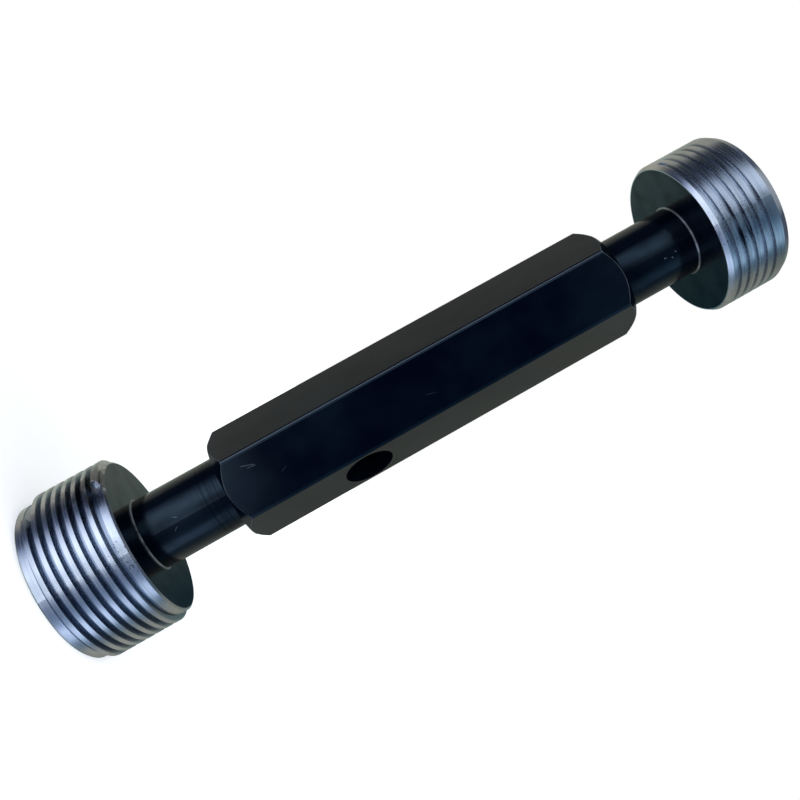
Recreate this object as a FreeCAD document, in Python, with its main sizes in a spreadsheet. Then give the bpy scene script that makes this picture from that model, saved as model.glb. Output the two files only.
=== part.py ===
import FreeCAD, Part
import math
import os

import Sketcher

# Double-ended thread plug gauge: a hollow hexagonal handle that holds a GO and a NOT GO thread
# plug in two self-locking tapers. Every piece lies along +Z. The origin is the centre of the GO
# plug's outer face, on which the gauge stands. +X is square to one flat of the hexagon.
# All lengths are in millimetres and all angles in degrees.

SIZES = [
    # Thread, 12 to the inch, Acme form.
    ("pitch", 25.4 / 12, "distance from one crest to the next along the axis"),
    ("flank_angle", 14.5, "angle of each flank to a plane square to the axis"),
    # GO plug: full form.
    ("go_length", 19.2, "outer face to inner face"),
    ("go_crest_radius", 18.256, "half of the 1 7/16 inch major diameter"),
    ("go_thread_depth", 1.256, "crest to root, along the radius"),
    ("go_crest_flat", 0.9, "width of the flat on top of the thread"),
    ("go_crest_height", 3.1, "height of the first crest above the outer face, at azimuth 0"),
    ("go_start_azimuth", -55.0, "azimuth of the blunt start, about +Z from +X"),
    ("go_turns", 7.0, "turns of the thread, blunt at both ends"),
    ("go_pilot_drop", 1.106, "plain land at the outer end, below the crest"),
    ("go_pilot_width", 1.95, "width of that land"),
    ("go_land_drop", 1.056, "plain land at the inner end, below the crest"),
    ("go_land_width", 1.9, "width of that land"),
    ("go_rim", 0.35, "bevel of both rims"),
    # NOT GO plug: crests cut low.
    ("not_go_length", 14.75, "inner face to outer face"),
    ("not_go_crest_radius", 17.5, "truncated crest"),
    ("not_go_thread_depth", 0.5, "crest to root, along the radius"),
    ("not_go_crest_flat", 1.18, "width of the flat on top of the thread"),
    ("not_go_groove_height", 2.0, "height of the first groove above the inner face, at azimuth 0"),
    ("not_go_start_azimuth", -70.0, "azimuth where the groove starts, about +Z from +X"),
    ("not_go_turns", 4.75, "turns of the groove"),
    ("inner_rim_drop", 0.55, "bevel of the inner rim, along the radius"),
    ("inner_rim_width", 0.9, "bevel of the inner rim, along the axis"),
    ("outer_rim_drop", 0.8, "bevel of the outer rim, along the radius"),
    ("outer_rim_width", 1.5, "bevel of the outer rim, along the axis"),
    # Necks, tapers and lathe centres.
    ("go_neck_length", 19.1, "from the GO plug to the handle"),
    ("not_go_neck_length", 17.9, "from the handle to the NOT GO plug"),
    ("neck_bevel", 0.35, "small bevel where a neck meets its plug"),
    ("mouth_radius", 7.8, "taper socket at the handle's end face"),
    ("taper_ratio", 48.0, "length of taper for 1 mm of diameter"),
    ("taper_gap", 0.01, "clearance between shank and socket, along the radius"),
    ("shank_length", 21.4, "taper shank inside the handle, short of the cross hole"),
    ("centre_radius", 2.4, "lathe centre at its mouth"),
    ("centre_floor_radius", 0.8, "flat bottom of the lathe centre"),
    ("centre_depth", 2.77, "depth of the lathe centre, with sides at 60 degrees to each other"),
    # Handle.
    ("handle_length", 91.3, "end face to end face"),
    ("across_flats", 21.7, "hexagon, flat to flat"),
    ("corner_radius", 12.35, "turned radius of the hexagon's corners"),
    ("end_radius", 10.7, "end face, inside its bevel"),
    ("end_bevel", 1.95, "bevel of the end, along the axis"),
    ("socket_depth", 21.6, "taper socket, from the end face"),
    ("through_bore_radius", 6.5, "bore between the two sockets"),
    ("drift_hole_radius", 5.3, "cross hole for driving the GO plug out"),
    ("drift_hole_offset", 27.0, "cross hole, from the handle's GO end face"),
    ("drift_hole_azimuth", 60.0, "direction of the cross hole, square to two flats"),
]

SHEET_NAME = "sizes"
FULL_TURN = 360.0
HEXAGON_SIDES = 6
STOCK_MARGIN = 2.0   # how far a cut reaches past the bar that it cuts
GROOVE_MARGIN = 0.5  # how far the thread groove's outline reaches past the crest
THREAD_SINK = 0.3    # how far the thread ridge reaches below the root before it is joined


class Size:
    """A number together with the spreadsheet expression that gives it."""

    def __init__(self, value, text):
        self.value = value
        self.text = text

    def joined(self, sign, other, value):
        other_text = other.text if isinstance(other, Size) else repr(float(other))
        return Size(value, f"({self.text} {sign} {other_text})")

    def __add__(self, other):
        return self.joined("+", other, self.value + number(other))

    def __sub__(self, other):
        return self.joined("-", other, self.value - number(other))

    def __mul__(self, other):
        return self.joined("*", other, self.value * number(other))

    def __truediv__(self, other):
        return self.joined("/", other, self.value / number(other))


def number(size):
    return size.value if isinstance(size, Size) else float(size)


def tangent(angle):
    return Size(math.tan(math.radians(angle.value)), f"tan({angle.text} * 1 deg)")


def make_sheet(doc):
    """Write the sizes into a spreadsheet and return them by name."""
    sheet = doc.addObject("Spreadsheet::Sheet", SHEET_NAME)
    sizes = {}
    for row, (name, value, meaning) in enumerate(SIZES, start=1):
        sheet.set(f"A{row}", name)
        sheet.set(f"B{row}", repr(value))
        sheet.set(f"C{row}", meaning)
        sheet.setAlias(f"B{row}", name)
        sizes[name] = Size(value, f"{SHEET_NAME}.{name}")
    doc.recompute()
    return sizes


def make_body(doc, label):
    body = doc.addObject("PartDesign::Body", label)
    body.Label = label
    return body


def origin_feature(body, role):
    return next(item for item in body.Origin.OriginFeatures if item.Role == role)


def upright_sketch(body, name, azimuth=None):
    """A sketch in the plane through +Z, its first axis pointing at the azimuth (0 if none)."""
    sketch = body.newObject("Sketcher::SketchObject", name)
    sketch.AttachmentSupport = (origin_feature(body, "XZ_Plane"), [""])
    sketch.MapMode = "FlatFace"
    if azimuth is not None:
        turn = FreeCAD.Rotation(FreeCAD.Vector(0, 1, 0), azimuth.value)
        sketch.AttachmentOffset = FreeCAD.Placement(FreeCAD.Vector(), turn)
        sketch.setExpression("AttachmentOffset.Rotation.Angle", azimuth.text)
    return sketch


def hold_point(sketch, line, axis_constraint, size):
    """Hold the first end of a line at a distance from the origin along one sketch axis."""
    index = sketch.addConstraint(
        Sketcher.Constraint(axis_constraint, -1, 1, line, 1, size.value)
    )
    sketch.setExpression(f"Constraints[{index}]", size.text)


def straight_spline(start, end):
    """A spline of one straight span, which turns to a cone with few facets."""
    side = Part.BSplineCurve()
    side.buildFromPolesMultsKnots([start, end], [2, 2], [0, 1], False, 1)
    return side


def draw_outline(sketch, points, splines=()):
    """Draw a closed outline through (radius, height) points. A radius of None is on the axis.
    The side after each point numbered in splines is a straight spline, the rest are lines."""
    corners = [
        FreeCAD.Vector(0.0 if radius is None else radius.value, height.value, 0)
        for radius, height in points
    ]
    count = len(corners)
    for index in range(count):
        make_side = straight_spline if index in splines else Part.LineSegment
        sketch.addGeometry(make_side(corners[index], corners[(index + 1) % count]), False)
    for index in range(count):
        sketch.addConstraint(
            Sketcher.Constraint("Coincident", index, 2, (index + 1) % count, 1)
        )
    for index, (radius, height) in enumerate(points):
        if radius is None:
            sketch.addConstraint(Sketcher.Constraint("PointOnObject", index, 1, -2))
        else:
            hold_point(sketch, index, "DistanceX", radius)
        if height.text == "0":
            sketch.addConstraint(Sketcher.Constraint("PointOnObject", index, 1, -1))
        else:
            hold_point(sketch, index, "DistanceY", height)


def turned_feature(body, kind, name, sketch):
    """A Revolution or Groove of a sketch through a full turn about +Z."""
    feature = body.newObject(f"PartDesign::{kind}", name)
    feature.Profile = sketch
    feature.ReferenceAxis = (origin_feature(body, "Z_Axis"), [""])
    feature.Angle = FULL_TURN
    return feature


def threaded_feature(body, kind, name, sketch, pitch, turns):
    """A right-hand helix of a sketch about +Z, going up from the sketch."""
    feature = body.newObject(f"PartDesign::{kind}", name)
    feature.Profile = sketch
    feature.ReferenceAxis = (origin_feature(body, "Z_Axis"), [""])
    feature.Mode = "pitch-turns-angle"
    feature.setExpression("Pitch", pitch.text)
    feature.setExpression("Turns", turns.text)
    feature.LeftHanded = False
    feature.Reversed = False
    return feature


def make_handle(doc, size, handle_start):
    """Hexagonal bar with turned ends, a taper socket in each end and a cross hole."""
    body = make_body(doc, "handle")
    apothem = size["across_flats"] / 2
    handle_end = handle_start + size["handle_length"]

    bar = body.newObject("PartDesign::AdditivePrism", "hexagonal_bar")
    bar.AttachmentSupport = (origin_feature(body, "XY_Plane"), [""])
    bar.MapMode = "FlatFace"
    half_side = FreeCAD.Rotation(FreeCAD.Vector(0, 0, 1), FULL_TURN / HEXAGON_SIDES / 2)
    bar.AttachmentOffset = FreeCAD.Placement(FreeCAD.Vector(0, 0, handle_start.value), half_side)
    bar.setExpression("AttachmentOffset.Base.z", handle_start.text)
    bar.Polygon = HEXAGON_SIDES
    sharp_corner = apothem / math.cos(math.pi / HEXAGON_SIDES)
    bar.setExpression("Circumradius", sharp_corner.text)
    bar.setExpression("Height", size["handle_length"].text)

    # The turned envelope takes the corners down and bevels both ends.
    corner = size["corner_radius"]
    outside = sharp_corner + STOCK_MARGIN
    envelope = upright_sketch(body, "turned_envelope")
    draw_outline(envelope, [
        (size["end_radius"], handle_start),
        (corner, handle_start + size["end_bevel"]),
        (corner, handle_end - size["end_bevel"]),
        (size["end_radius"], handle_end),
        (outside, handle_end),
        (outside, handle_start),
    ])
    turned_feature(body, "Groove", "turned_ends", envelope)

    # Both sockets and the bore between them.
    mouth = size["mouth_radius"]
    socket_end = mouth - size["socket_depth"] / size["taper_ratio"] / 2
    go_socket_floor = handle_start + size["socket_depth"]
    not_go_socket_floor = handle_end - size["socket_depth"]
    bore = upright_sketch(body, "socket_outline")
    draw_outline(bore, [
        (None, handle_start),
        (mouth, handle_start),
        (socket_end, go_socket_floor),
        (size["through_bore_radius"], go_socket_floor),
        (size["through_bore_radius"], not_go_socket_floor),
        (socket_end, not_go_socket_floor),
        (mouth, handle_end),
        (None, handle_end),
    ], splines=(1, 5))
    turned_feature(body, "Groove", "sockets_and_bore", bore)

    # The cross hole is square to two flats, so its sketch's first axis lies 90 degrees on.
    hole_plane = size["drift_hole_azimuth"] + 90
    hole_sketch = upright_sketch(body, "drift_hole_circle", hole_plane)
    hole_height = handle_start + size["drift_hole_offset"]
    hole_centre = FreeCAD.Vector(0, hole_height.value, 0)
    radius = size["drift_hole_radius"]
    hole_sketch.addGeometry(
        Part.Circle(hole_centre, FreeCAD.Vector(0, 0, 1), radius.value), False
    )
    hole_sketch.addConstraint(Sketcher.Constraint("PointOnObject", 0, 3, -2))
    height_index = hole_sketch.addConstraint(
        Sketcher.Constraint("DistanceY", -1, 1, 0, 3, hole_height.value)
    )
    hole_sketch.setExpression(f"Constraints[{height_index}]", hole_height.text)
    radius_index = hole_sketch.addConstraint(Sketcher.Constraint("Radius", 0, radius.value))
    hole_sketch.setExpression(f"Constraints[{radius_index}]", radius.text)
    hole = body.newObject("PartDesign::Pocket", "drift_hole")
    hole.Profile = hole_sketch
    hole.SideType = "Symmetric"
    hole.setExpression("Length", (apothem * 2 + STOCK_MARGIN * 2).text)
    return body


def make_go_member(doc, size, zero, handle_start):
    """GO plug, neck and taper shank in one piece, with the full Acme thread."""
    body = make_body(doc, "go_member")
    face = size["go_length"]
    neck = size["mouth_radius"] - size["taper_gap"]
    shank_tip = neck - size["shank_length"] / size["taper_ratio"] / 2
    shank_end = handle_start + size["shank_length"]
    rim = size["go_rim"]
    crest = size["go_crest_radius"]
    root = crest - size["go_thread_depth"]
    pilot = crest - size["go_pilot_drop"]
    land = crest - size["go_land_drop"]
    land_start = face - size["go_land_width"]

    outline = upright_sketch(body, "go_blank_outline")
    draw_outline(outline, [
        (None, size["centre_depth"]),
        (size["centre_floor_radius"], size["centre_depth"]),
        (size["centre_radius"], zero),
        (pilot - rim, zero),
        (pilot, rim),
        (pilot, size["go_pilot_width"]),
        (root, size["go_pilot_width"]),
        (root, land_start),
        (land, land_start),
        (land, face - rim),
        (land - rim, face),
        (neck + size["neck_bevel"], face),
        (neck, face + size["neck_bevel"]),
        (neck, handle_start),
        (shank_tip, shank_end),
        (None, shank_end),
    ], splines=(13,))
    turned_feature(body, "Revolution", "go_blank", outline)

    # The ridge starts below the root so that it grows out of the blank.
    start = size["go_start_azimuth"]
    ridge_height = size["go_crest_height"] + size["pitch"] * start / FULL_TURN
    foot = root - THREAD_SINK
    half_crest = size["go_crest_flat"] / 2
    spread = (crest - foot) * tangent(size["flank_angle"])
    half_foot = half_crest + spread
    ridge = upright_sketch(body, "go_ridge_outline", start)
    draw_outline(ridge, [
        (foot, ridge_height - half_foot),
        (crest, ridge_height - half_crest),
        (crest, ridge_height + half_crest),
        (foot, ridge_height + half_foot),
    ])
    threaded_feature(
        body, "AdditiveHelix", "go_thread", ridge, size["pitch"], size["go_turns"]
    )
    return body


def make_not_go_member(doc, size, handle_end):
    """NOT GO plug, neck and taper shank in one piece, with the truncated Acme thread."""
    body = make_body(doc, "not_go_member")
    inner_face = handle_end + size["not_go_neck_length"]
    outer_face = inner_face + size["not_go_length"]
    neck = size["mouth_radius"] - size["taper_gap"]
    shank_tip = neck - size["shank_length"] / size["taper_ratio"] / 2
    shank_end = handle_end - size["shank_length"]
    crest = size["not_go_crest_radius"]
    root = crest - size["not_go_thread_depth"]

    outline = upright_sketch(body, "not_go_blank_outline")
    draw_outline(outline, [
        (None, shank_end),
        (shank_tip, shank_end),
        (neck, handle_end),
        (neck, inner_face - size["neck_bevel"]),
        (neck + size["neck_bevel"], inner_face),
        (crest - size["inner_rim_drop"], inner_face),
        (crest, inner_face + size["inner_rim_width"]),
        (crest, outer_face - size["outer_rim_width"]),
        (crest - size["outer_rim_drop"], outer_face),
        (size["centre_radius"], outer_face),
        (size["centre_floor_radius"], outer_face - size["centre_depth"]),
        (None, outer_face - size["centre_depth"]),
    ], splines=(1, 7))
    turned_feature(body, "Revolution", "not_go_blank", outline)

    # The groove is cut from outside the crest down to the root.
    start = size["not_go_start_azimuth"]
    groove_height = inner_face + size["not_go_groove_height"] + size["pitch"] * start / FULL_TURN
    slope = tangent(size["flank_angle"])
    mouth_radius = crest + GROOVE_MARGIN
    half_mouth = (size["pitch"] - size["not_go_crest_flat"]) / 2
    half_outside = half_mouth + (mouth_radius - crest) * slope
    half_root = half_mouth - (crest - root) * slope
    groove = upright_sketch(body, "not_go_groove_outline", start)
    draw_outline(groove, [
        (root, groove_height - half_root),
        (mouth_radius, groove_height - half_outside),
        (mouth_radius, groove_height + half_outside),
        (root, groove_height + half_root),
    ])
    threaded_feature(
        body, "SubtractiveHelix", "not_go_thread", groove, size["pitch"], size["not_go_turns"]
    )
    return body


def check_document(doc, bodies):
    """Stop if any feature failed or any piece is not one valid solid."""
    for item in doc.Objects:
        if "Invalid" in item.State or "Error" in item.State:
            raise RuntimeError(f"{item.Name} failed: {item.State}")
    for body in bodies:
        shape = body.Shape
        if shape.isNull() or not shape.isValid() or len(shape.Solids) != 1:
            raise RuntimeError(f"{body.Label} is not one valid solid")


def main():
    doc = FreeCAD.newDocument("thread_plug_gauge")
    size = make_sheet(doc)
    zero = Size(0.0, "0")
    handle_start = size["go_length"] + size["go_neck_length"]
    handle_end = handle_start + size["handle_length"]
    bodies = [
        make_handle(doc, size, handle_start),
        make_go_member(doc, size, zero, handle_start),
        make_not_go_member(doc, size, handle_end),
    ]
    doc.recompute()
    check_document(doc, bodies)

    os.makedirs("parts", exist_ok=True)
    for body in bodies:
        body.Shape.exportStep(f"parts/{body.Label}.step")
        box = body.Shape.BoundBox
        print(f"{body.Label}: {body.Shape.Volume:.1f} mm3, z {box.ZMin:.3f} to {box.ZMax:.3f}")


main()
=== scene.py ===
from math import cos, pi, radians, sin

import bmesh
import bpy
from bpy.props import FloatProperty, PointerProperty, StringProperty
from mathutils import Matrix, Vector

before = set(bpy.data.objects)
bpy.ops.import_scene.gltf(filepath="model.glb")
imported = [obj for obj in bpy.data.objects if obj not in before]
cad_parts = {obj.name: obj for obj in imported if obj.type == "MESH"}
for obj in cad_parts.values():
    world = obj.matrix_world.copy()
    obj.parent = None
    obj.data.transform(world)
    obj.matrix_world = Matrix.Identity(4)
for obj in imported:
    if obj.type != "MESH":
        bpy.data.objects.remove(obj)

bl_info = {
    "name": "Thread plug gauge",
    "version": (1, 0, 0),
    "blender": (4, 5, 0),
    "location": "View3D > Sidebar > Gauge",
    "description": "Finishes for a double-ended thread plug gauge, with its stage",
    "category": "Object",
}

MM = 0.001

# Kinds of node that are used most. RAMP takes a value, its low and high, and what they become.
# MIX takes a factor at 0, and numbers at 2 and 3, vectors at 4 and 5 or colours at 6 and 7. It
# gives a number at output 0, a vector at 1 and a colour at 2.
MATH = "ShaderNodeMath"
VECTOR = "ShaderNodeVectorMath"
RAMP = "ShaderNodeMapRange"
MIX = "ShaderNodeMix"


def linear(code):
    """A colour written as sRGB hex, as the linear values that a shader takes."""
    parts = [int(code[i:i + 2], 16) / 255 for i in (1, 3, 5)]
    return [c / 12.92 if c <= 0.04045 else ((c + 0.055) / 1.055) ** 2.4 for c in parts] + [1.0]


def add_node(tree, kind, inputs=(), **settings):
    """Adds a node with its settings and links.

    The inputs stand in the sockets' order, or under their names or numbers. Each is a value, a
    socket, or a node whose first output is meant.
    """
    node = tree.nodes.new(kind)
    for name, value in settings.items():
        setattr(node, name, value)
    for name, value in inputs.items() if isinstance(inputs, dict) else enumerate(inputs):
        if isinstance(value, bpy.types.Node):
            value = value.outputs[0]
        if isinstance(value, bpy.types.NodeSocket):
            tree.links.new(value, node.inputs[name])
        else:
            node.inputs[name].default_value = value
    return node


class GaugeSizes(bpy.types.PropertyGroup):
    ground_radius: FloatProperty(
        name="Ground radius", description="Radius beyond which a gauging member is ground bright",
        default=16.7 * MM, unit="LENGTH")
    go_crest: FloatProperty(
        name="GO crest", description="Radius of the GO thread's crest",
        default=18.256 * MM, unit="LENGTH")
    go_face: FloatProperty(
        name="GO inner face", description="Height of the GO member's inner face",
        default=19.2 * MM, unit="LENGTH")
    go_thread_start: FloatProperty(
        name="GO thread start", description="Height where the GO thread leaves its outer land",
        default=1.95 * MM, unit="LENGTH")
    go_thread_end: FloatProperty(
        name="GO thread end", description="Height where the GO thread meets its inner land",
        default=17.3 * MM, unit="LENGTH")
    not_go_crest: FloatProperty(
        name="NOT GO crest", description="Radius of the NOT GO thread's crest",
        default=17.5 * MM, unit="LENGTH")
    not_go_face: FloatProperty(
        name="NOT GO inner face", description="Height of the NOT GO member's inner face",
        default=147.5 * MM, unit="LENGTH")
    not_go_thread_start: FloatProperty(
        name="NOT GO thread start", description="Height of the NOT GO member's inner bevel",
        default=148.4 * MM, unit="LENGTH")
    not_go_thread_end: FloatProperty(
        name="NOT GO thread end", description="Height of the NOT GO member's outer bevel",
        default=160.75 * MM, unit="LENGTH")
    neck_radius: FloatProperty(
        name="Neck radius", description="Radius of the necks beside the members",
        default=7.8 * MM, unit="LENGTH")
    corner_radius: FloatProperty(
        name="Corner radius", description="Turned radius of the handle's corners",
        default=12.35 * MM, unit="LENGTH")
    flat_distance: FloatProperty(
        name="Flat distance", description="From the gauge's axis to a flat of the handle",
        default=10.85 * MM, unit="LENGTH")
    handle_middle: FloatProperty(
        name="Handle middle", description="Height of the middle of the handle",
        default=83.95 * MM, unit="LENGTH")
    handle_length: FloatProperty(
        name="Handle length", description="Length of the handle, end face to end face",
        default=91.3 * MM, unit="LENGTH")
    end_radius: FloatProperty(
        name="End radius", description="Radius of the handle's end faces",
        default=10.7 * MM, unit="LENGTH")
    end_bevel: FloatProperty(
        name="End bevel", description="Height of the cone turned on each end of the handle",
        default=1.95 * MM, unit="LENGTH")


class GaugeColours(bpy.types.PropertyGroup):
    steel: StringProperty(
        name="Ground steel", description="Ground gauging surfaces, as sRGB hex",
        default="#D6D8DC")
    tarnish: StringProperty(
        name="Handled steel", description="Ground steel dulled by handling, as sRGB hex",
        default="#B4B9BD")
    # Painted shade: a darker colour laid into the thread grooves by their depth.
    groove: StringProperty(
        name="Thread groove", description="Bottom of the thread grooves, as sRGB hex",
        default="#98A2B0")
    dirt: StringProperty(
        name="Stain", description="Dried oil and dirt on the ground steel, as sRGB hex",
        default="#262C38")
    oxide: StringProperty(
        name="Black oxide", description="Blackened steel, as sRGB hex",
        default="#01040C")
    bloom: StringProperty(
        name="Oxide bloom", description="Paler film on the blackened steel, as sRGB hex",
        default="#050D16")
    # Real scratches show this steel, and it is also painted along the handle's corners and rims as
    # a highlight.
    bare_and_highlight: StringProperty(
        name="Bare steel", description="Steel that shows where the oxide is worn, as sRGB hex",
        default="#9AA2A8")


# Each pattern is its cells per metre along X, Y and Z, which is 1000 over a cell's size in mm, and
# its levels of detail. Turning and grinding lines are finer on the real steel than a render shows,
# so these are drawn coarser, and the lines that run round a member are long ones of 17 mm or more.
TURNING_LINES = ((60, 60, 4500), 3.0)  # 0.22 mm apart
TURNING_BANDS = ((45, 45, 900), 2.0)  # 1.1 mm wide
TARNISH_CLOUDS = ((160, 160, 160), 4.0)  # 6 mm
GRIT = ((2600, 2600, 2600), 1.0)  # 0.4 mm
RING_BREAKS = ((300, 300, 300), 2.0)  # 3.3 mm
NECK_RINGS = ((0, 0, 1500), 1.0)  # 0.67 mm apart, drawn coarser too
MEMBER_FILM = ((220, 220, 110), 4.0)  # 4.5 mm round and 9 mm along
OXIDE_CLOUDS = ((90, 90, 90), 4.0)  # 11 mm
BAR_FILM = ((150, 150, 75), 4.0)  # 6.7 mm across and 13 mm along
MILLING_LINES = ((500, 500, 60), 2.0)  # 2 mm across and 17 mm along
RIM_HIGHLIGHT_BREAKS = ((260, 260, 260), 3.0)  # 3.8 mm

# The part of a pattern, from 0 to 1, over which its effect grows from none to full.
BLOOM_GROWS = (0.4, 0.75)
HAZE_GROWS = (0.35, 0.7)
FILM_GROWS = (0.36, 0.66)
LINES_GROW = (0.36, 0.62)
TARNISH_GROWS = (0.42, 0.75)
BANDS_GROW = (0.52, 0.7)
BREAKS_GROW = (0.35, 0.6)
RINGS_GROW = (0.5, 0.6)
GRIT_GROWS = (0.64, 0.68)
RIM_HIGHLIGHT_BREAKS_GROW = (0.38, 0.62)

# Roughness of the ground steel between and on its lines, and of the oxide where clear and hazy.
STEEL_ROUGHNESS = (0.18, 0.31)
MEMBER_OXIDE_ROUGHNESS = (0.11, 0.22)
HANDLE_OXIDE_ROUGHNESS = (0.10, 0.20)
BARE_AND_HIGHLIGHT_ROUGHNESS = 0.8
# Specular level of the oxide, clear and under its oily film, and what a turned ring takes off it.
MEMBER_GLOSS = (0.50, 0.22)
HANDLE_GLOSS = (0.56, 0.42)
RING_DULLS = -0.4
# The oxide reflects with a blue cast, and bare steel with none.
OXIDE_SHEEN = (0.60, 0.84, 1.0, 1.0)
NO_SHEEN = (1, 1, 1, 1)

GROUND_EDGE = 0.06 * MM  # width of the change from blackened to ground steel
RING_START, RING_REACH = 0.04 * MM, 0.3 * MM  # painted highlight, a bright steel ring, where a neck meets its member
FAINTEST_RING = 0.05
# Painted shade: between these depths below the crest, the grooves are darkened towards the groove
# colour.
GROOVE_SHADE_TOP, GROOVE_SHADE_BOTTOM = 0.1 * MM, 0.45 * MM  # below the crest, where a groove darkens
GROOVE_FILLED = 0.6  # share of that darkening at which a stain covers a groove fully
MOST_BANDING = 0.5  # of the handled steel's colour in the turning bands
STAIN_EDGE, SPECK_EDGE = 0.6, 0.4  # share of its reach over which a mark fades
NECK_SCRATCH_STRENGTH = 0.35
MEMBER_BUMP = {"Strength": 0.14, "Distance": 0.01 * MM}

HEXAGON_SIDES = 6
# Cosine of six times the azimuth, which is -1 on a corner: 0.8 to 0.3 degrees away from it.
CORNER_LINE = (-0.9965, -0.9995)
CORNER_LINE_DEPTH = (0.05 * MM, 0.02 * MM)  # below the corners' radius
CORNER_STRENGTH, RIM_STRENGTH = 0.42, 0.30  # share of bare steel that shows through, painted in as a highlight line
RIM_START, RIM_END = 0.03 * MM, 0.17 * MM  # painted highlight line along the rim, measured in from the end cone
ROUNDED_DEPTH = 0.08 * MM  # below the corners' radius, where they start to look turned
HANDLE_BUMP = {"Strength": 0.15, "Distance": 0.02 * MM}

# Scratches on the handle's front flat: middle across and up, direction, length (mm), strength.
HANDLE_SCRATCH_WIDTH = 0.14 * MM
HANDLE_SCRATCHES = (
    (-3.2, 44.6, 0.35, 1.0, 2.6, 0.30), (-2.6, 45.2, 0.1, 1.0, 1.8, 0.22),
    (0.9, 50.5, -0.5, 1.0, 1.4, 0.06), (2.1, 83.0, 0.3, 1.0, 2.2, 0.05),
)


def on_surface(radius, azimuth, height):
    """A point on a round surface, from millimetres and degrees."""
    angle = radians(azimuth)
    return (radius * cos(angle) * MM, radius * sin(angle) * MM, height * MM)


# Marks on a member:
#   stains, specks: middle and reach of each
#   scratches: middle, direction, length and width of each, on the neck
#   grain, patches: the stains' pattern, and the part of it over which they grow
#   dirt: strength of the stains and specks
#   on_crest: share of a stain that stays on the crests
#   groove: strength of the painted shade laid into the grooves
#   neck_glint: strength of the painted highlight, a bright steel ring, where the neck meets the
#       member
#   turned: heights between which the neck shows turned rings
GO_MARKS = {
    "stains": ((on_surface(17.4, -56, 17.4), 9.5 * MM),),
    "specks": ((on_surface(17.2, 0, 18.4), 5.0 * MM), (on_surface(17.6, -60, 15.0), 9.0 * MM)),
    "scratches": ((on_surface(7.79, -8, 27), (0.0, 0.5, 1), 0.9 * MM, 0.09 * MM),
                  (on_surface(7.79, 8, 26), (0.0, -0.8, 1), 1.1 * MM, 0.09 * MM)),
    "grain": ((300, 300, 420), 3.0),  # 3.3 mm round and 2.4 mm along
    "patches": (0.38, 0.52),
    "dirt": 0.72,
    "on_crest": 1.0,
    "groove": 0.9,
    "neck_glint": 0.45,
    "turned": (32.5 * MM, 38.2 * MM),
}
NOT_GO_MARKS = {
    "stains": ((on_surface(17.5, 7, 154), 8.0 * MM),),
    "specks": ((on_surface(17.5, 8, 152), 7.0 * MM),),
    "scratches": ((on_surface(7.79, 12, 140), (0.0, 0.2, 1), 0.5 * MM, 0.25 * MM),
                  (on_surface(7.79, 16, 141.5), (0.0, 0.9, 1), 0.4 * MM, 0.25 * MM),
                  (on_surface(7.79, 10, 142.6), (0.0, 0.4, 1), 0.4 * MM, 0.2 * MM)),
    "grain": ((170, 170, 900), 3.0),  # 6 mm round and 1.1 mm along
    "patches": (0.45, 0.57),
    "dirt": 0.85,
    "on_crest": 0.45,
    "groove": 0.5,
    "neck_glint": 0.36,
    "turned": (129.6 * MM, 131.0 * MM),
}


def begin_material(name):
    """An empty node material, and the place of each point on the object."""
    material = bpy.data.materials.new(name)
    material.use_nodes = True
    tree = material.node_tree
    tree.nodes.clear()
    return material, tree, add_node(tree, "ShaderNodeTexCoord").outputs["Object"]


def pattern(tree, place, cells, detail):
    """A cloudy pattern from 0 to 1, stretched to the given cells per metre."""
    stretched = add_node(tree, "ShaderNodeMapping", {"Vector": place, "Scale": cells})
    return add_node(tree, "ShaderNodeTexNoise", {
        "Vector": stretched, "Scale": 1.0, "Detail": detail}).outputs["Fac"]


def radius_and_height(tree, place):
    """Distance from the gauge's axis, and height along it."""
    level = add_node(tree, VECTOR, (place, (1, 1, 0)), operation="MULTIPLY")
    radius = add_node(tree, VECTOR, (level,), operation="LENGTH").outputs["Value"]
    height = add_node(tree, "ShaderNodeSeparateXYZ", (place,)).outputs["Z"]
    return radius, height


def between(tree, value, low, high):
    """1 where value is between low and high, and 0 elsewhere."""
    above = add_node(tree, MATH, (value, low), operation="GREATER_THAN")
    below = add_node(tree, MATH, (value, high), operation="LESS_THAN")
    return add_node(tree, MATH, (above, below), operation="MULTIPLY")


def near(tree, place, point, reach):
    """1 at a point, falling to 0 at the reach."""
    distance = add_node(tree, VECTOR, (place, point), operation="DISTANCE").outputs["Value"]
    return add_node(tree, RAMP, (distance, 0.0, reach, 1.0, 0.0))


def scratch(tree, place, middle, along, length, width):
    """1 on a thin straight scratch on the surface, and 0 elsewhere."""
    along = Vector(along).normalized()
    offset = add_node(tree, VECTOR, (place, middle), operation="SUBTRACT")
    reach = add_node(tree, VECTOR, (offset, along), operation="DOT_PRODUCT").outputs["Value"]
    side = add_node(tree, VECTOR, (offset, along), operation="CROSS_PRODUCT")
    across = add_node(tree, VECTOR, (side,), operation="LENGTH").outputs["Value"]
    on_line = add_node(tree, MATH, (across, width / 2), operation="LESS_THAN")
    on_length = between(tree, reach, -length / 2, length / 2)
    return add_node(tree, MATH, (on_line, on_length), operation="MULTIPLY")


def largest(tree, values):
    """The largest of several values."""
    result = values[0]
    for value in values[1:]:
        result = add_node(tree, MATH, (result, value), operation="MAXIMUM")
    return result


def oxide_colour(tree, place, colours):
    """The colour of blackened steel with its cloudy bloom, and the clouds."""
    clouds = pattern(tree, place, *OXIDE_CLOUDS)
    colour = add_node(tree, MIX, {
        0: add_node(tree, RAMP, (clouds, *BLOOM_GROWS)),
        6: linear(colours.oxide), 7: linear(colours.bloom)}, data_type="RGBA").outputs[2]
    return colour, clouds


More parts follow.
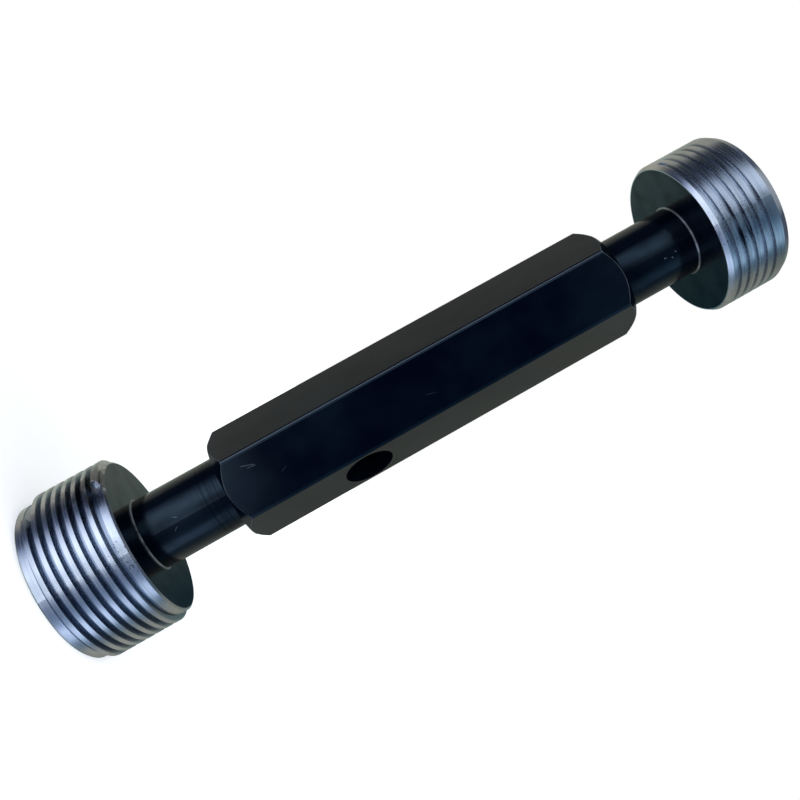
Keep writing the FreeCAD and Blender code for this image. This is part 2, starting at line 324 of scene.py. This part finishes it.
# Hardened tool steel, blackened all over in a hot oxide bath, then ground on the thread. To the
# eye, the neck and faces are nearly black, with a satin, slightly oily gloss and a cold blue cast.
# The thread is bright, and its fine lines round the axis draw reflections out into bands.
def member_finish(name, face, crest, thread, marks, sizes, colours):
    """The finish of a gauging member."""
    material, tree, place = begin_material(name)
    radius, height = radius_and_height(tree, place)

    ground = add_node(tree, RAMP, (
        radius, sizes.ground_radius, sizes.ground_radius + GROUND_EDGE))
    # Painted highlight: a broken ring of bright steel where the neck meets the member.
    near_face = between(tree, height, face - RING_REACH, face + RING_REACH)
    past_neck = between(
        tree, radius, sizes.neck_radius + RING_START, sizes.neck_radius + RING_REACH)
    neck_glint = add_node(tree, MATH, (near_face, past_neck), operation="MULTIPLY")
    breaks = add_node(tree, RAMP, (
        pattern(tree, place, *RING_BREAKS), *BREAKS_GROW, FAINTEST_RING, marks["neck_glint"]))
    neck_glint = add_node(tree, MATH, (neck_glint, breaks), operation="MULTIPLY")
    scratches = [
        add_node(tree, MATH, (scratch(tree, place, *line), NECK_SCRATCH_STRENGTH),
                 operation="MULTIPLY")
        for line in marks["scratches"]]
    bright = largest(tree, [ground, neck_glint, *scratches])

    lines = pattern(tree, place, *TURNING_LINES)
    bands = pattern(tree, place, *TURNING_BANDS)
    clouds = pattern(tree, place, *TARNISH_CLOUDS)
    steel = add_node(tree, MIX, {
        0: add_node(tree, RAMP, (clouds, *TARNISH_GROWS)),
        6: linear(colours.steel), 7: linear(colours.tarnish)}, data_type="RGBA").outputs[2]
    steel = add_node(tree, MIX, {
        0: add_node(tree, RAMP, (bands, *BANDS_GROW, 0.0, MOST_BANDING)),
        6: steel, 7: linear(colours.tarnish)}, data_type="RGBA").outputs[2]
    # Painted shade: the grooves darken with depth below the crest, towards the groove colour.
    depth = add_node(tree, RAMP, (
        radius, crest - GROOVE_SHADE_TOP, crest - GROOVE_SHADE_BOTTOM, 0.0, marks["groove"]))
    groove = add_node(tree, MATH, (depth, between(tree, height, *thread)), operation="MULTIPLY")
    steel = add_node(tree, MIX, {
        0: groove, 6: steel, 7: linear(colours.groove)}, data_type="RGBA").outputs[2]

    patches = add_node(tree, RAMP, (pattern(tree, place, *marks["grain"]), *marks["patches"]))
    cover = add_node(tree, RAMP, (
        depth, 0.0, marks["groove"] * GROOVE_FILLED, marks["on_crest"], 1.0))
    patches = add_node(tree, MATH, (cover, patches), operation="MULTIPLY")
    grit = add_node(tree, RAMP, (pattern(tree, place, *GRIT), *GRIT_GROWS))
    stains = [
        add_node(tree, MATH, (
            patches, add_node(tree, RAMP, (near(tree, place, *spot), 0.0, STAIN_EDGE))),
            operation="MULTIPLY")
        for spot in marks["stains"]]
    specks = [
        add_node(tree, MATH, (
            add_node(tree, RAMP, (near(tree, place, *spot), 0.0, SPECK_EDGE)), grit),
            operation="MULTIPLY")
        for spot in marks["specks"]]
    dirt = add_node(tree, MATH, (largest(tree, stains + specks), marks["dirt"]),
                    operation="MULTIPLY")
    steel = add_node(tree, MIX, {
        0: dirt, 6: steel, 7: linear(colours.dirt)}, data_type="RGBA").outputs[2]

    oxide, haze = oxide_colour(tree, place, colours)
    smooth = add_node(tree, RAMP, (lines, *LINES_GROW, *STEEL_ROUGHNESS))
    satin = add_node(tree, RAMP, (haze, *HAZE_GROWS, *MEMBER_OXIDE_ROUGHNESS))
    rings = add_node(tree, MATH, (
        add_node(tree, RAMP, (pattern(tree, place, *NECK_RINGS), *RINGS_GROW)),
        between(tree, height, *marks["turned"])), operation="MULTIPLY")
    film = add_node(tree, RAMP, (
        pattern(tree, place, *MEMBER_FILM), *FILM_GROWS, *MEMBER_GLOSS))
    dulled = add_node(tree, MATH, (
        film, add_node(tree, MATH, (rings, RING_DULLS), operation="MULTIPLY")),
        operation="MULTIPLY")

    shader = add_node(tree, "ShaderNodeBsdfPrincipled", {
        "Base Color": add_node(
            tree, MIX, {0: bright, 6: oxide, 7: steel}, data_type="RGBA").outputs[2],
        "Metallic": bright,
        "Roughness": add_node(tree, MIX, {0: bright, 2: satin, 3: smooth}),
        "Specular Tint": add_node(
            tree, MIX, {0: bright, 6: OXIDE_SHEEN, 7: NO_SHEEN}, data_type="RGBA").outputs[2],
        "Specular IOR Level": add_node(tree, MATH, (dulled, film), operation="ADD"),
        "Normal": add_node(tree, "ShaderNodeBump", {"Height": lines, **MEMBER_BUMP})})
    add_node(tree, "ShaderNodeOutputMaterial", {"Surface": shader})
    return material


# Black oxide on milled steel bar. To the eye, it is a smooth blue black, faintly cloudy, with a
# soft oily gloss. Grey steel shows in real scratches and is painted in as highlights along the
# corners and rims.
def handle_finish(sizes, colours):
    """The finish of the hexagonal handle."""
    material, tree, place = begin_material("black_oxide_on_milled_bar")
    radius, height = radius_and_height(tree, place)
    parts = add_node(tree, "ShaderNodeSeparateXYZ", (place,)).outputs

    # Painted highlight: a thin line of bare steel along the corners, on the lit side only.
    azimuth = add_node(tree, MATH, (parts["Y"], parts["X"]), operation="ARCTAN2")
    lobes = add_node(tree, MATH, (azimuth, HEXAGON_SIDES), operation="MULTIPLY")
    lobes = add_node(tree, MATH, (lobes,), operation="COSINE")
    by_depth = add_node(tree, RAMP, (
        radius, *(sizes.corner_radius - depth for depth in CORNER_LINE_DEPTH)))
    corner_highlight = add_node(tree, MATH, (add_node(tree, RAMP, (lobes, *CORNER_LINE)), by_depth),
                      operation="MULTIPLY")
    lit_side = between(tree, azimuth, -pi, 0.0)
    corner_highlight = add_node(tree, MATH, (corner_highlight, lit_side), operation="MULTIPLY")
    corner_highlight = add_node(tree, MATH, (corner_highlight, CORNER_STRENGTH), operation="MULTIPLY")

    # Painted highlight: a broken line of bare steel along each rim, beside the end cone.
    from_middle = add_node(tree, MATH, (height, sizes.handle_middle), operation="SUBTRACT")
    from_middle = add_node(tree, MATH, (from_middle,), operation="ABSOLUTE")
    from_end = add_node(tree, MATH, (sizes.handle_length / 2, from_middle), operation="SUBTRACT")
    slope = sizes.end_bevel / (sizes.corner_radius - sizes.end_radius)
    cone = add_node(tree, MATH, (radius, sizes.end_radius), operation="SUBTRACT")
    cone = add_node(tree, MATH, (cone, slope), operation="MULTIPLY")
    from_cone = add_node(tree, MATH, (from_end, cone), operation="SUBTRACT")
    patchy = add_node(tree, RAMP, (pattern(tree, place, *RIM_HIGHLIGHT_BREAKS), *RIM_HIGHLIGHT_BREAKS_GROW))
    rim_highlight = add_node(tree, MATH, (between(tree, from_cone, RIM_START, RIM_END), patchy),
                   operation="MULTIPLY")
    rim_highlight = add_node(tree, MATH, (rim_highlight, RIM_STRENGTH), operation="MULTIPLY")

    scratches = [
        add_node(tree, MATH, (
            scratch(tree, place, (sizes.flat_distance, y * MM, z * MM), (0, dy, dz),
                    length * MM, HANDLE_SCRATCH_WIDTH), strength), operation="MULTIPLY")
        for y, z, dy, dz, length, strength in HANDLE_SCRATCHES]
    # Bare steel in real scratches, and painted highlights along the corners and rims.
    bare_and_highlight = largest(tree, [corner_highlight, rim_highlight, *scratches])

    oxide, haze = oxide_colour(tree, place, colours)
    satin = add_node(tree, RAMP, (haze, *HAZE_GROWS, *HANDLE_OXIDE_ROUGHNESS))
    # Roughness of the real scratches and of the painted highlight lines.
    worn = add_node(tree, MATH, (bare_and_highlight, BARE_AND_HIGHLIGHT_ROUGHNESS), operation="MULTIPLY")
    milled = add_node(tree, "ShaderNodeBump", {
        "Height": pattern(tree, place, *MILLING_LINES), **HANDLE_BUMP})
    outward = add_node(tree, VECTOR, (place, (1, 1, 0)), operation="MULTIPLY")
    outward = add_node(tree, VECTOR, (outward,), operation="NORMALIZE")
    rounding = add_node(tree, RAMP, (
        radius, sizes.corner_radius - ROUNDED_DEPTH, sizes.corner_radius))

    shader = add_node(tree, "ShaderNodeBsdfPrincipled", {
        "Base Color": add_node(
            tree, MIX, {0: bare_and_highlight, 6: oxide, 7: linear(colours.bare_and_highlight)},
            data_type="RGBA").outputs[2],
        "Metallic": bare_and_highlight,
        "Roughness": add_node(tree, MATH, (satin, worn), operation="MAXIMUM"),
        "Specular Tint": OXIDE_SHEEN,
        "Specular IOR Level": add_node(tree, RAMP, (
            pattern(tree, place, *BAR_FILM), *FILM_GROWS, *HANDLE_GLOSS)),
        "Normal": add_node(
            tree, MIX, {0: rounding, 4: milled, 5: outward}, data_type="VECTOR").outputs[1]})
    add_node(tree, "ShaderNodeOutputMaterial", {"Surface": shader})
    return material


def dress(node, material):
    """Gives a CAD piece its finish."""
    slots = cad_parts[node].material_slots
    if not slots:
        raise RuntimeError(f"{node} has no material slot")
    for slot in slots:
        slot.material = material


class GAUGE_OT_handle(bpy.types.Operator):
    """Finishes the hexagonal handle"""
    bl_idname = "gauge.handle"
    bl_label = "Handle"

    def execute(self, context):
        dress("handle", handle_finish(context.scene.gauge_sizes, context.scene.gauge_colours))
        return {"FINISHED"}


class GAUGE_OT_members(bpy.types.Operator):
    """Finishes the GO and the NOT GO member"""
    bl_idname = "gauge.members"
    bl_label = "Gauging members"

    def execute(self, context):
        sizes, colours = context.scene.gauge_sizes, context.scene.gauge_colours
        dress("go_member", member_finish(
            "ground_tool_steel_go", sizes.go_face, sizes.go_crest,
            (sizes.go_thread_start, sizes.go_thread_end), GO_MARKS, sizes, colours))
        dress("not_go_member", member_finish(
            "ground_tool_steel_not_go", sizes.not_go_face, sizes.not_go_crest,
            (sizes.not_go_thread_start, sizes.not_go_thread_end), NOT_GO_MARKS, sizes, colours))
        return {"FINISHED"}


# Light from the room round the gauge by azimuth in degrees: looking down, level and up. White
# paper in plain light is 1, so the brightest cards stand for lit diffusers.
ROOM_LOW = (
    (-180, (0.22, 0.32, 0.30)), (-172, (0.46, 0.58, 0.50)), (-125, (0.50, 0.48, 0.42)),
    (-113, (0.42, 0.39, 0.36)), (-104, (0.06, 0.075, 0.10)), (-76, (0.03, 0.05, 0.11)),
    (-66, (0.42, 0.52, 0.78)), (-52, (1.02, 1.17, 1.52)), (-30, (1.42, 1.58, 1.86)),
    (-12, (0.98, 1.14, 1.42)), (-2, (0.98, 1.14, 1.42)), (0, (1.60, 1.80, 2.10)),
    (2.5, (1.60, 1.80, 2.10)), (5, (0.22, 0.28, 0.42)), (30, (0.15, 0.21, 0.35)),
    (44, (0.28, 0.40, 0.62)), (54, (0.85, 1.05, 1.45)), (72, (0.75, 0.95, 1.30)),
    (80, (0.16, 0.26, 0.40)), (92, (0.14, 0.20, 0.26)), (102, (0.30, 0.32, 0.31)),
    (122, (0.40, 0.40, 0.35)), (160, (0.22, 0.26, 0.24)), (172, (0.03, 0.10, 0.12)),
    (180, (0.22, 0.32, 0.30)))
ROOM_LEVEL = (
    (-180, (0.25, 0.31, 0.28)), (-172, (0.41, 0.43, 0.37)), (-124, (0.45, 0.42, 0.35)),
    (-117, (0.32, 0.30, 0.25)), (-112, (0.12, 0.13, 0.14)), (-104, (0.02, 0.03, 0.06)),
    (-60, (0.02, 0.03, 0.08)), (-52, (0.45, 0.55, 0.75)), (-45, (0.95, 1.20, 1.60)),
    (-24, (1.05, 1.35, 1.80)), (-16, (0.60, 0.80, 1.15)), (-8, (0.02, 0.03, 0.09)),
    (28, (0.00, 0.01, 0.05)), (44, (0.02, 0.05, 0.10)), (54, (0.06, 0.12, 0.22)),
    (72, (0.10, 0.18, 0.30)), (80, (0.18, 0.30, 0.42)), (95, (0.24, 0.30, 0.34)),
    (108, (0.30, 0.31, 0.28)), (124, (0.30, 0.305, 0.25)), (160, (0.20, 0.26, 0.24)),
    (172, (0.02, 0.06, 0.08)), (180, (0.25, 0.31, 0.28)))
ROOM_HIGH = (
    (-180, (0.25, 0.31, 0.28)), (-172, (0.41, 0.43, 0.37)), (-125, (0.38, 0.38, 0.33)),
    (-114, (0.34, 0.35, 0.33)), (-104, (0.03, 0.04, 0.05)), (-60, (0.02, 0.03, 0.05)),
    (-50, (0.20, 0.26, 0.36)), (-40, (0.52, 0.62, 0.80)), (-12, (0.82, 0.98, 1.20)),
    (-4, (0.50, 0.62, 0.80)), (4, (0.16, 0.23, 0.31)), (36, (0.08, 0.16, 0.26)),
    (48, (0.24, 0.40, 0.58)), (72, (0.42, 0.64, 0.86)), (80, (0.06, 0.13, 0.20)),
    (92, (0.06, 0.10, 0.14)), (102, (0.20, 0.23, 0.21)), (125, (0.29, 0.30, 0.26)),
    (160, (0.20, 0.26, 0.24)), (172, (0.02, 0.06, 0.08)), (180, (0.25, 0.31, 0.28)))
CEILING = (0.08, 0.10, 0.15, 1.0)
SKYLIGHT = (0.45, 0.50, 0.56, 1.0)
WHITE = (1.0, 1.0, 1.0, 1.0)
# Sine of the elevation over which each part of the room gives way to the next one up.
LOW_TO_LEVEL = (-0.26, -0.12)
LEVEL_TO_HIGH = (0.30, 0.46)
HIGH_TO_CEILING = (0.65, 0.85)
CEILING_TO_SKYLIGHT = (0.955, 0.975)


def room_colours(tree, turn, stops):
    """A part of the room, as a colour for each azimuth."""
    node = add_node(tree, "ShaderNodeValToRGB", {"Fac": turn})
    elements = node.color_ramp.elements
    while len(elements) > 1:
        elements.remove(elements[-1])
    for number, (azimuth, colour) in enumerate(stops):
        position = (azimuth + 180) / 360
        element = elements[0] if number == 0 else elements.new(position)
        element.position = position
        element.color = (*colour, 1.0)
    return node


def make_room():
    """The studio: white behind the gauge, with the pale cards and dark gaps that steel shows.

    Reflected rays see the cards and not the white, because steel in a white room has no form.
    """
    world = bpy.data.worlds.new("studio")
    bpy.context.scene.world = world
    world.use_nodes = True
    tree = world.node_tree
    tree.nodes.clear()
    direction = add_node(tree, "ShaderNodeTexCoord").outputs["Generated"]
    parts = add_node(tree, "ShaderNodeSeparateXYZ", (direction,)).outputs
    azimuth = add_node(tree, MATH, (parts["Y"], parts["X"]), operation="ARCTAN2")
    turn = add_node(tree, RAMP, (azimuth, -pi, pi))
    room = room_colours(tree, turn, ROOM_LOW)
    for heights, above in (
            (LOW_TO_LEVEL, room_colours(tree, turn, ROOM_LEVEL)),
            (LEVEL_TO_HIGH, room_colours(tree, turn, ROOM_HIGH)),
            (HIGH_TO_CEILING, CEILING), (CEILING_TO_SKYLIGHT, SKYLIGHT)):
        room = add_node(tree, MIX, {
            0: add_node(tree, RAMP, (parts["Z"], *heights)), 6: room, 7: above},
            data_type="RGBA").outputs[2]
    rays = add_node(tree, "ShaderNodeLightPath").outputs
    seen = add_node(tree, MATH, (rays["Is Camera Ray"], rays["Is Transmission Ray"]),
                    operation="MAXIMUM")
    colour = add_node(tree, MIX, {0: seen, 6: room, 7: WHITE}, data_type="RGBA").outputs[2]
    shader = add_node(tree, "ShaderNodeBackground", {"Color": colour, "Strength": 1.0})
    add_node(tree, "ShaderNodeOutputWorld", {"Surface": shader})


FLOOR_HALF_WIDTH = 1.5  # metres
PAPER = (0.8, 0.8, 0.8, 1.0)
# Glow of the floor for the camera, near the gauge and away from it, and those distances in
# metres from its axis.
GLOW_REACH = (0.06, 0.30)
GLOW = (0.58, 0.95)


# White paper: matt, without gloss. It glows for the camera alone, less beside the gauge, so that
# the gauge's shadow shows, and more away from it, so that the floor runs into the white behind.
def make_floor():
    """A plain pale floor under the gauge, which keeps its shadow."""
    mesh = bpy.data.meshes.new("floor")
    shape = bmesh.new()
    bmesh.ops.create_grid(shape, x_segments=1, y_segments=1, size=FLOOR_HALF_WIDTH)
    shape.to_mesh(mesh)
    shape.free()
    floor = bpy.data.objects.new("floor", mesh)
    bpy.context.scene.collection.objects.link(floor)
    material, tree, place = begin_material("white_paper_floor")
    rays = add_node(tree, "ShaderNodeLightPath").outputs
    paper = add_node(tree, "ShaderNodeBsdfDiffuse", {"Color": PAPER})
    strength = add_node(tree, RAMP, (radius_and_height(tree, place)[0], *GLOW_REACH, *GLOW))
    glow = add_node(tree, "ShaderNodeEmission", {
        "Color": WHITE,
        "Strength": add_node(tree, MATH, (rays["Is Camera Ray"], strength),
                             operation="MULTIPLY")})
    lit = add_node(tree, "ShaderNodeAddShader", (paper, glow))
    # The floor is clear to reflected and shadow rays, so that the room's low part shows in the
    # steel, and lights it, from below as well.
    clear = add_node(tree, "ShaderNodeBsdfTransparent")
    passes = add_node(tree, MATH, (rays["Is Glossy Ray"], rays["Is Shadow Ray"]),
                      operation="MAXIMUM")
    surface = add_node(tree, "ShaderNodeMixShader", (passes, lit, clear))
    add_node(tree, "ShaderNodeOutputMaterial", {"Surface": surface})
    mesh.materials.append(material)


# Place, aim and width in metres, and power in watts.
SOFT_BOX_PLACE = (0.85, 0.40, 2.3)
SOFT_BOX_AIM = (0.0, 0.0, 0.08)
SOFT_BOX_SIZE = 2.0
SOFT_BOX_POWER = 32.0


def make_soft_box():
    """A large square soft box above the gauge."""
    data = bpy.data.lights.new("soft_box", "AREA")
    data.shape = "SQUARE"
    data.size = SOFT_BOX_SIZE
    data.energy = SOFT_BOX_POWER
    lamp = bpy.data.objects.new("soft_box", data)
    bpy.context.scene.collection.objects.link(lamp)
    lamp.location = SOFT_BOX_PLACE
    aim = Vector(SOFT_BOX_AIM) - Vector(SOFT_BOX_PLACE)
    lamp.rotation_euler = aim.to_track_quat("-Z", "Y").to_euler()
    # Its reflection would burn out the polished bevels.
    lamp.visible_glossy = False


CAMERA_PLACE = (0.1692301, -0.0093802, 0.0666933)  # metres
CAMERA_TURN = (99.0516, -60.5555, 79.3201)  # degrees
SENSOR_WIDTH, FOCAL_LENGTH = 36.0, 36.075  # millimetres
SHIFT_X, SHIFT_Y = -0.005523, -0.016718  # shares of the frame's width
NEAREST_SEEN = 5.0 * MM


def make_camera():
    """The camera in front of the gauge's middle, rolled so that the gauge lies across the frame."""
    data = bpy.data.cameras.new("camera")
    data.sensor_width = SENSOR_WIDTH
    data.lens = FOCAL_LENGTH
    data.shift_x = SHIFT_X
    data.shift_y = SHIFT_Y
    data.clip_start = NEAREST_SEEN
    camera = bpy.data.objects.new("camera", data)
    bpy.context.scene.collection.objects.link(camera)
    camera.location = CAMERA_PLACE
    camera.rotation_euler = [radians(angle) for angle in CAMERA_TURN]
    bpy.context.scene.camera = camera


class GAUGE_OT_stage(bpy.types.Operator):
    """Makes the floor, the studio light and the camera"""
    bl_idname = "gauge.stage"
    bl_label = "Stage"

    def execute(self, context):
        context.scene.view_settings.view_transform = "Standard"
        make_room()
        make_floor()
        make_soft_box()
        make_camera()
        return {"FINISHED"}


class GAUGE_PT_panel(bpy.types.Panel):
    """Lists the steps that dress the gauge"""
    bl_idname = "GAUGE_PT_panel"
    bl_label = "Thread plug gauge"
    bl_space_type = "VIEW_3D"
    bl_region_type = "UI"
    bl_category = "Gauge"

    def draw(self, context):
        for step in STEPS:
            self.layout.operator(step.bl_idname)


STEPS = (GAUGE_OT_handle, GAUGE_OT_members, GAUGE_OT_stage)
CLASSES = (GaugeSizes, GaugeColours, *STEPS, GAUGE_PT_panel)


def register():
    for kind in CLASSES:
        bpy.utils.register_class(kind)
    bpy.types.Scene.gauge_sizes = PointerProperty(type=GaugeSizes)
    bpy.types.Scene.gauge_colours = PointerProperty(type=GaugeColours)


def unregister():
    del bpy.types.Scene.gauge_sizes
    del bpy.types.Scene.gauge_colours
    for kind in reversed(CLASSES):
        bpy.utils.unregister_class(kind)


def main():
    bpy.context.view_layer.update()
    register()
    bpy.ops.gauge.handle()
    bpy.ops.gauge.members()
    bpy.ops.gauge.stage()


if __name__ == "__main__":
    main()
